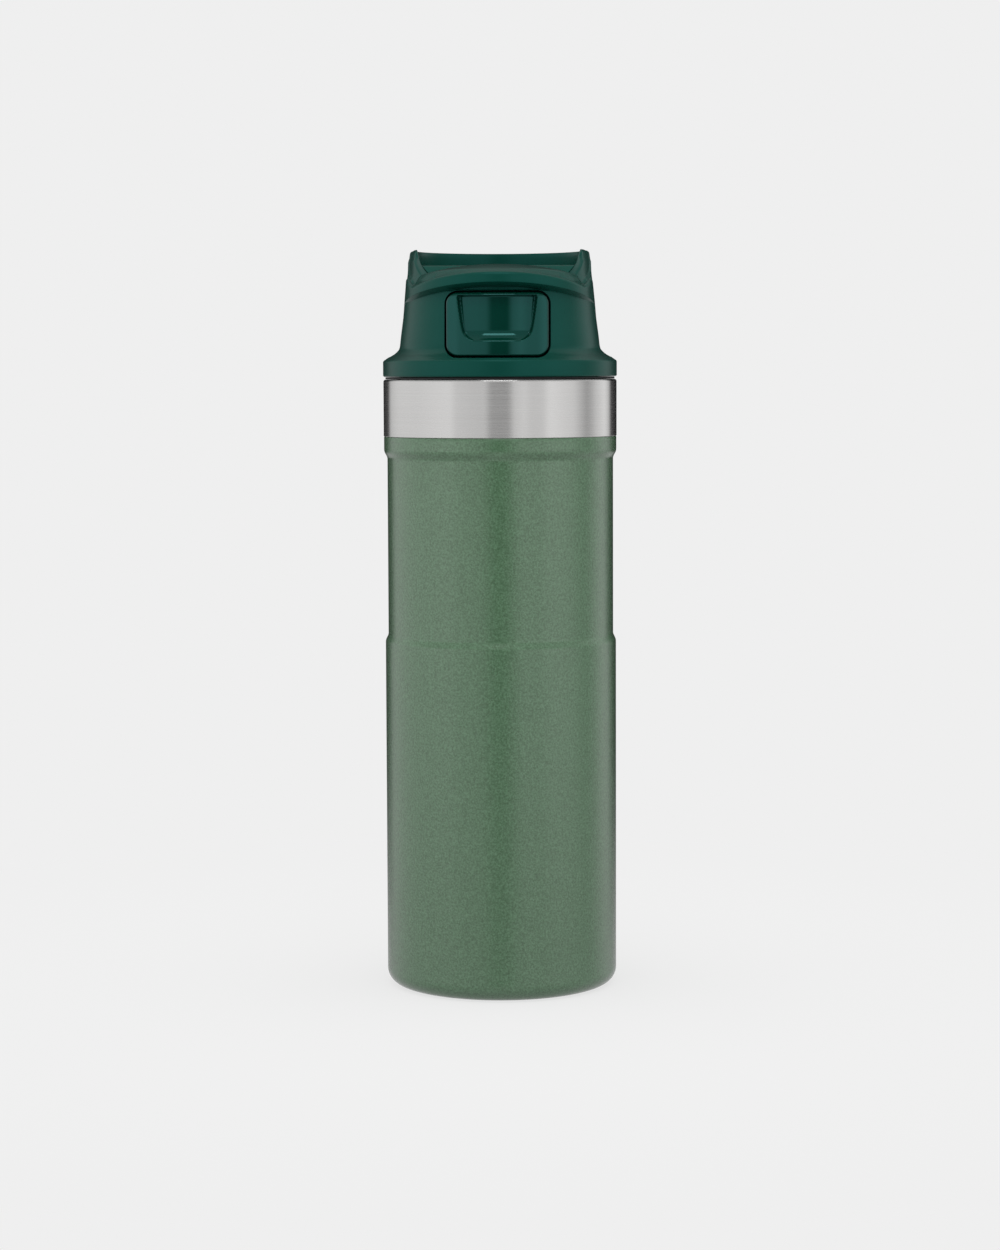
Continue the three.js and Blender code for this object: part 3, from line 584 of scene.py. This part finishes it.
def lid_deck():
    bm = bmesh.new()
    bmesh.ops.create_grid(bm, x_segments=96, y_segments=110, size=1.0)
    for v in bm.verts:
        x = v.co.x * 27.6
        # Rows are closer together at the rounded front edge.
        row = (v.co.y + 1) / 2
        y = -19.0 + 6.5 * row / 0.25 if row < 0.25 else -12.5 + 40.1 * (row - 0.25) / 0.75
        v.co = (x, y, deck_height(x, y))
    grown = bmesh.ops.extrude_face_region(bm, geom=list(bm.faces))["geom"]
    for v in [g for g in grown if isinstance(g, bmesh.types.BMVert)]:
        # The underside steps up over the trigger's pocket, so that the trigger passes under it.
        v.co.z = CEILING_Z if v.co.y > BULKHEAD_Y else WINDOW_TOP + 0.6
    deck = finish_mesh(bm, "lid_deck", LID_PLASTIC, "lid", ["deck_insert"], crease=40)
    round_edge = spun([(0, 217), (27.4, 217), (27.4, 230), (0, 230)], closed=False)
    cut_with(deck, tool(round_edge, "deck_edge"), "INTERSECT")
    seats = bmesh.new()
    for y, a, b, wall in ((PORT_Y, PORT_A, PORT_B, 1.2), (VENT_Y, VENT_R, VENT_R, 1.2)):
        ring = bmesh.ops.create_cone(seats, cap_ends=True, segments=64, radius1=1, radius2=1,
                                     depth=3.4)["verts"]
        bmesh.ops.scale(seats, verts=ring, vec=(a + wall, b + wall, 1))
        bmesh.ops.translate(seats, verts=ring, vec=(0, y, 217.5))
    cut_with(deck, tool(seats, "seats"), "UNION")
    for y, a, b in ((PORT_Y, PORT_A, PORT_B), (VENT_Y, VENT_R, VENT_R)):
        # Each hole has a small round at its upper edge.
        hole = spun([(0, 212), (1, 212), (1, DISH_Z - 0.35), (1 + 0.1 / b, DISH_Z - 0.1),
                     (1 + 0.45 / b, DISH_Z + 0.02), (1 + 0.45 / b, 224), (0, 224)], 64, closed=False)
        for v in hole.verts:
            v.co = (v.co.x * a, v.co.y * b + y, v.co.z)
        cut_with(deck, tool(hole, "hole"))
    deck.data.shade_smooth()
    deck.data.set_sharp_from_angle(angle=math.radians(40))


def visor():
    """The peak over the trigger: an upright face on an ellipse, a cove under it, and a crowned top."""
    ridge = smooth_line(RIDGE)

    def lower(y):
        return 214.3 + 0.21 * -y

    def crown(x, y):
        side = 1 - math.sqrt(max(0.0, 1 - min(1.0, abs(x) / VISOR_A) ** 2))
        return 227.3 - 8.8 * side - 0.0085 * max(0.0, -y - 16) ** 2 - 0.5 * max(0.0, y + 15)

    rounding = [math.radians(15 * i) for i in range(7)]
    rows = (["in_low", "cove", "lip0", "lip1"] + ["face"] * 4 + [("edge", a) for a in rounding]
            + [("top", i) for i in range(16)] + ["in_top", "in_side"])
    soft, hidden_r, root_r = 1.2, 28.4, 28.6

    def place(angle, row):
        c, s = math.cos(angle), math.sin(angle)
        rim = VISOR_A * VISOR_B / math.hypot(VISOR_B * c, VISOR_A * s)
        y_rim = rim * s
        low = lower(y_rim)
        crease = max(low + VISOR_FACE, min(along(ridge, y_rim), low + 8) if y_rim > -17 else 0)
        blend = ease(-y_rim, -3.0, 15.0)

        def outside(z):
            return rim * blend + (drum_radius(z) - 0.04) * (1 - blend)

        inner = min(max(12.5 / max(abs(s), 1e-3), 8.0), hidden_r)
        kind = rows[row]
        if kind == "in_low":
            r, z = root_r, low - 1.5
        elif kind == "cove":
            r, z = root_r + (outside(low) - root_r) * 0.6, low - 0.95
        elif kind == "lip0":
            r, z = outside(low) - 0.3, low - 0.12
        elif kind == "lip1":
            r, z = outside(low) - 0.06, low
        elif kind == "face":
            t = (row - 3) / 5
            z = low + 0.15 + (crease - soft - low) * t
            r = outside(z)
        elif kind == "in_top":
            r, z = inner, 220.4
        elif kind == "in_side":
            r, z = hidden_r, 220.4
        elif kind[0] == "edge":
            z = crease - soft + soft * math.sin(kind[1])
            r = outside(z) - soft * (1 - math.cos(kind[1]))
        else:
            t = (kind[1] + 1) / 16
            edge_r = outside(crease) - soft
            r = edge_r + (inner - edge_r) * t
            top = crown(r * c, r * s)
            z = crease + (top - crease) * ease(t * (edge_r - inner), 0.0, 1.4)
        return (r * c, r * s, z)

    spread = math.radians(200)
    ladder = [(1.0, float(i)) for i in range(len(rows))]
    bm = spun(ladder, 256, angle=spread, start=-math.pi / 2 - spread / 2)
    for v in bm.verts:
        v.co = place(math.atan2(v.co.y, v.co.x), round(v.co.z))
    bmesh.ops.holes_fill(bm, edges=[e for e in bm.edges if e.is_boundary], sides=0)
    finish_mesh(bm, "lid_visor", LID_PLASTIC, "lid", (), crease=50)


def trigger_pocket():
    wall = 1.6
    outside = rounded_rectangle(WINDOW_W + 2 * wall, WINDOW_LOW - wall, WINDOW_TOP + wall,
                                WINDOW_CORNER + wall)
    pocket = finish_mesh(bar_along_y(outside, -40, BULKHEAD_Y + BULKHEAD), "trigger_pocket", LID_PLASTIC,
                         "lid",
                         ())
    inside_lid = spun([(0, 190), (31.6, 190), (31.5, 201), (30.9, 205.3), (30.1, 211), (29.3, 219),
                       (28.9, 222), (0, 222)], 128, closed=False)
    cut_with(pocket, tool(inside_lid, "inside_of_drum"), "INTERSECT")
    window = rounded_rectangle(WINDOW_W, WINDOW_LOW, WINDOW_TOP, WINDOW_CORNER)
    cut_with(pocket, tool(bar_along_y(window, -45, BULKHEAD_Y), "window"))


def button_face(x, z):
    """How far forward the trigger's face is: a curve round the flask's axis, with a thumb scoop."""
    foot, top, face_r, depth = 203.3, 217.5, 32.9, 2.7
    low = min(1.0, max(0.0, (top - z) / (top - foot)))
    half = 12.5 - 1.9 * low ** 1.2 - 3.2 * low ** 10
    walls = ease(half - abs(x), 0.0, 1.1)
    up = min(1.0, max(0.0, (z - foot) / 3.6))
    ramp = 1 - (1 - up * up * 1.1 / (up + 0.1)) ** 2
    bowl = walls * ramp * ease(top + 0.1 - z, 0.0, 0.6) * (0.75 + 0.25 * ease(z, foot, top))
    y = math.sqrt(face_r ** 2 - x * x) - depth * bowl
    # The top edge leans back.
    return 0.9 * ease(z, 217.1, 218.5) - y


def trigger_button():
    low, high, width, corner = 198.95, 218.25, 31.2, 3.5
    bm = bmesh.new()
    bmesh.ops.create_grid(bm, x_segments=210, y_segments=130, size=1.0)
    half_x, half_z = width / 2 + 0.2, (high - low) / 2 + 0.2
    for v in bm.verts:
        x, z = v.co.x * half_x, (low + high) / 2 + v.co.y * half_z
        # Distance in from the outline of the rounded rectangle.
        dx, dz = abs(x) - (width / 2 - corner), abs(z - (low + high) / 2) - ((high - low) / 2 - corner)
        inside = corner - math.hypot(max(dx, 0), max(dz, 0)) - min(max(dx, dz), 0)
        soft = 0.5
        back = soft - math.sqrt(max(0.0, soft ** 2 - (soft - min(soft, max(0.0, inside))) ** 2))
        v.co = (x, button_face(x, z) + back, z)
    grown = bmesh.ops.extrude_face_region(bm, geom=list(bm.faces))["geom"]
    for v in [g for g in grown if isinstance(g, bmesh.types.BMVert)]:
        v.co.y = -20.5
    button = finish_mesh(bm, "trigger_button_smooth", TRIGGER_PLASTIC, "trigger", ["trigger_button"],
                         crease=50)
    outline = rounded_rectangle(width, low, high, corner, steps=14)
    cut_with(button, tool(bar_along_y(outline, -45, -10), "outline"), "INTERSECT")
    hollow = rounded_rectangle(width - 3.6, low + 1.8, high - 1.8, corner - 1.8)
    cut_with(button, tool(bar_along_y(hollow, -26.5, -10), "hollow"))
    socket = bmesh.new()
    across = Matrix.Translation((0, -24.5, ROD_Z)) @ Matrix.Rotation(math.pi / 2, 4, "X")
    bmesh.ops.create_cone(socket, cap_ends=True, segments=48, radius1=ROD_R + 1.8, radius2=ROD_R + 1.8,
                          depth=6.0, matrix=across)
    cut_with(button, tool(socket, "socket"), "UNION")
    button.data.shade_smooth()
    button.data.set_sharp_from_angle(angle=math.radians(50))


def trigger_spring():
    """The coil spring behind the trigger, which shortens as the trigger goes in; this piece rides with the
    trigger at its full length.
    """
    wire, coil, turns = 0.45, ROD_R + 2.9, 5
    front, back = -25.9, BULKHEAD_Y - 0.6
    section = arc(coil, 0.0, wire, 0, 360 - 360 / 14, 13)
    bm = spun(section, 48 * turns, angle=math.tau * turns, rise=back - front)
    bmesh.ops.holes_fill(bm, edges=[e for e in bm.edges if e.is_boundary], sides=0)
    turn = Matrix.Translation((0, front, ROD_Z)) @ Matrix.Rotation(-math.pi / 2, 4, "X")
    bmesh.ops.transform(bm, matrix=turn, verts=bm.verts)
    spring = finish_mesh(bm, "trigger_spring_coil", WIRE, "trigger", ["trigger_spring"])
    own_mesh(spring)


def thread_skirt():
    skirt, inner = 30.1, 27.9
    top = SHOULDER_Z - FIT
    profile = [(inner, 172.0), (inner + 0.4, 171.6), (skirt - 0.6, 171.6), (skirt - 0.15, 171.8),
               (skirt, 172.2),
               (skirt, 180), (skirt, 188), (skirt, LID_Z), (SKIRT_PLATE_R, LID_Z), (SKIRT_PLATE_R, top),
               (inner, top), (inner, 185)]
    piece = finish_mesh(spun(profile), "thread_skirt_smooth", LID_PLASTIC, "lid", ["thread_skirt"])
    cut_with(piece, tool(thread_ridges(skirt, 31.5, 184.4), "skirt_thread"), "UNION")


def lid_gasket():
    top, bottom, inner = LID_Z - FIT, RIM_Z + FIT, 30.45
    edge = BODY_R - 0.4
    profile = [(inner, top), (inner, bottom - 1.7), (inner + 0.25, bottom - 2.0), (inner + 0.7, bottom - 2.0),
               (inner + 0.95, bottom - 1.7), (inner + 1.1, bottom - 0.4), (inner + 1.5, bottom),
               (edge - 0.15, bottom), (edge, bottom + 0.15), (edge, top - 0.15), (edge - 0.15, top)]
    finish_mesh(spun(profile), "lid_gasket_smooth", SILICONE, "gasket", ["lid_gasket"])


lid_drum()
lid_deck()
visor()
trigger_pocket()
trigger_button()
trigger_spring()
thread_skirt()
lid_gasket()

# ---------------------------------------------------------------- materials of the CAD nodes that stay

KEPT = {
    "copper_foil": COPPER, "seal_bead": SOLDER, "getter_pill": LINING, "getter_clip": LINING,
    "valve_bracket": VALVE_PLASTIC, "rod_seal": SILICONE, "arm_pin": WIRE, "trigger_rod": VALVE_PLASTIC,
    "rod_clip": WIRE, "valve_arm": VALVE_PLASTIC, "port_stopper": SILICONE,
    "vent_stopper": SILICONE, "arm_spring": WIRE,
}
for node, finish in KEPT.items():
    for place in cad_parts[node].material_slots:
        place.material = finish

# ---------------------------------------------------------------- floor and light

BACKDROP = colour("#efefef")
FLOOR_GLOW = 0.815
FLOOR_DIFFUSE = 0.13
FOOT_SHADE = 0.4
TOP_FRONT, TOP_SIDE = 1.05, 1.4  # the light overhead, at the front and back and at the sides
TOP_SHINE = 0.4  # how much of it shows in reflections
LOW_LIGHT = 0.6
SOFT_LIGHT = 1.2  # how much stronger the studio is as soft light than in reflections


def floor():
    """A pale floor that takes a faint shadow close to the flask, and fades into the backdrop further out."""
    bm = bmesh.new()
    bmesh.ops.create_circle(bm, cap_ends=True, segments=96, radius=0.3)
    mesh = bpy.data.meshes.new("floor")
    bm.to_mesh(mesh)
    bm.free()
    ground = bpy.data.objects.new("floor", mesh)
    scene.collection.objects.link(ground)
    ground.location.z = -0.0001
    made, tree = new_material("pale_floor")
    far = add(tree, "ShaderNodeVectorMath", {0: surface_of(tree)}, operation="LENGTH")
    near = add(tree, "ShaderNodeMapRange", {"Value": far.outputs["Value"], "From Min": 0.06, "From Max": 0.29,
                                            "To Min": 1.0, "To Max": 0.0}, interpolation_type="SMOOTHSTEP")
    glow = add(tree, "ShaderNodeEmission", {"Color": BACKDROP, "Strength": 1.0})
    dim = add(tree, "ShaderNodeEmission", {"Color": BACKDROP, "Strength": FLOOR_GLOW})
    matt = add(tree, "ShaderNodeBsdfDiffuse", {"Color": grey(FLOOR_DIFFUSE)})
    lit = add(tree, "ShaderNodeAddShader", {0: dim.outputs[0], 1: matt.outputs[0]})
    show(tree, add(tree, "ShaderNodeMixShader", {0: near.outputs[0], 1: glow.outputs[0], 2: lit.outputs[0]}))
    mesh.materials.append(made)
    ground.visible_glossy = False
    ground.visible_diffuse = False


def foot_shade():
    """The shaded floor close round the foot, as the paint's soft light sees it."""
    bm = bmesh.new()
    bmesh.ops.create_circle(bm, cap_ends=True, segments=96, radius=0.2)
    mesh = bpy.data.meshes.new("foot_shade")
    bm.to_mesh(mesh)
    bm.free()
    shade = bpy.data.objects.new("foot_shade", mesh)
    scene.collection.objects.link(shade)
    shade.location.z = -0.0006
    made, tree = new_material("shaded_floor")
    show(tree, add(tree, "ShaderNodeEmission", {"Color": grey(FOOT_SHADE), "Strength": 1.0}))
    mesh.materials.append(made)
    shade.visible_camera = shade.visible_glossy = shade.visible_shadow = False


# Brightness of the studio by bearing from the camera, in degrees to the right.
STUDIO = [(-180, 0.03), (-145, 0.03), (-138, 0.62), (-121, 0.79), (-90, 0.88), (-62, 1.04),
          (-50, 1.1), (-44, 0.86), (-24, 0.78), (-15, 0.7), (-9, 0.14), (8, 0.11), (14, 0.8), (23, 1.04),
          (31, 0.84), (42, 0.84), (50, 1.17), (64, 1.0), (78, 0.85), (87, 0.54), (95, 0.3), (102, 0.46),
          (110, 0.7), (126, 0.93), (136, 0.62), (142, 0.02), (180, 0.02)]


def studio():
    world = bpy.data.worlds.new("studio")
    world.use_nodes = True
    tree = world.node_tree
    tree.nodes.clear()
    way = add(tree, "ShaderNodeSeparateXYZ", {0: add(tree, "ShaderNodeTexCoord").outputs["Generated"]})
    front = add(tree, "ShaderNodeMath", {0: way.outputs["Y"], 1: -1.0}, operation="MULTIPLY")
    bearing = add(tree, "ShaderNodeMath", {0: way.outputs["X"], 1: front.outputs[0]}, operation="ARCTAN2")
    place = add(tree, "ShaderNodeMapRange", {"Value": bearing.outputs[0], "From Min": EYE_TURN - math.pi,
                                             "From Max": EYE_TURN + math.pi})
    cards = add(tree, "ShaderNodeValToRGB", {"Fac": place.outputs[0]},
                stops=[((card + 180) / 360, grey(level)) for card, level in STUDIO])
    aside = add(tree, "ShaderNodeMath", {0: way.outputs["X"]}, operation="ABSOLUTE")
    top = add(tree, "ShaderNodeMapRange", {"Value": aside.outputs[0], "From Min": 0.0, "From Max": 0.8,
                                           "To Min": TOP_FRONT, "To Max": TOP_SIDE})
    ray = add(tree, "ShaderNodeLightPath")
    overhead = add(tree, "ShaderNodeMapRange", {"Value": ray.outputs["Is Diffuse Ray"], "To Min": TOP_SHINE,
                                                "To Max": 1.0})
    top = add(tree, "ShaderNodeMath", {0: top.outputs[0], 1: overhead.outputs[0]}, operation="MULTIPLY")
    # The light overhead starts higher up at the back than at the front.
    behind = add(tree, "ShaderNodeMath", {0: way.outputs["Y"], 1: 0.0}, operation="MAXIMUM")
    height = add(tree, "ShaderNodeMath", {0: behind.outputs[0], 1: -0.25, 2: way.outputs["Z"]},
                 operation="MULTIPLY_ADD")
    above = add(tree, "ShaderNodeMapRange", {"Value": height.outputs[0], "From Min": 0.12, "From Max": 0.45,
                                             "To Min": 0.0, "To Max": 1.0}, interpolation_type="SMOOTHSTEP")
    below = add(tree, "ShaderNodeMapRange", {"Value": way.outputs["Z"], "From Min": -0.22, "From Max": -0.12,
                                             "To Min": 1.0, "To Max": 0.0}, interpolation_type="SMOOTHSTEP")
    upper = add(tree, "ShaderNodeMix", {"Factor": above.outputs[0], 6: cards.outputs[0], 7: top.outputs[0]},
                data_type="RGBA")
    level = add(tree, "ShaderNodeMix", {"Factor": below.outputs[0], 6: upper.outputs[2], 7: grey(LOW_LIGHT)},
                data_type="RGBA")
    strength = add(tree, "ShaderNodeMapRange", {"Value": ray.outputs["Is Diffuse Ray"], "To Min": 1.0,
                                                "To Max": SOFT_LIGHT})
    light = add(tree, "ShaderNodeBackground", {"Color": level.outputs[2], "Strength": strength.outputs[0]})
    seen = add(tree, "ShaderNodeBackground", {"Color": BACKDROP, "Strength": 1.0})
    mix = add(tree, "ShaderNodeMixShader", {0: ray.outputs["Is Camera Ray"], 1: light.outputs[0],
                                            2: seen.outputs[0]})
    add(tree, "ShaderNodeOutputWorld", {"Surface": mix.outputs[0]})
    scene.world = world


def soft_box(name, place, target, width, height, watts):
    """A soft light, not seen by the camera."""
    lamp = bpy.data.lights.new(name, "AREA")
    lamp.shape, lamp.size, lamp.size_y, lamp.energy = "RECTANGLE", width, height, watts
    box = bpy.data.objects.new(name, lamp)
    box.matrix_world = (Matrix.Translation(place)
                        @ (Vector(place) - Vector(target)).to_track_quat("Z", "Y").to_matrix().to_4x4())
    box.visible_camera = False
    scene.collection.objects.link(box)


floor()
foot_shade()
studio()
soft_box("front_top", (0.0, -0.5, 0.95), (0.0, 0.0, 0.2), 0.42, 0.25, 0.9)
scene.view_settings.view_transform = "Standard"
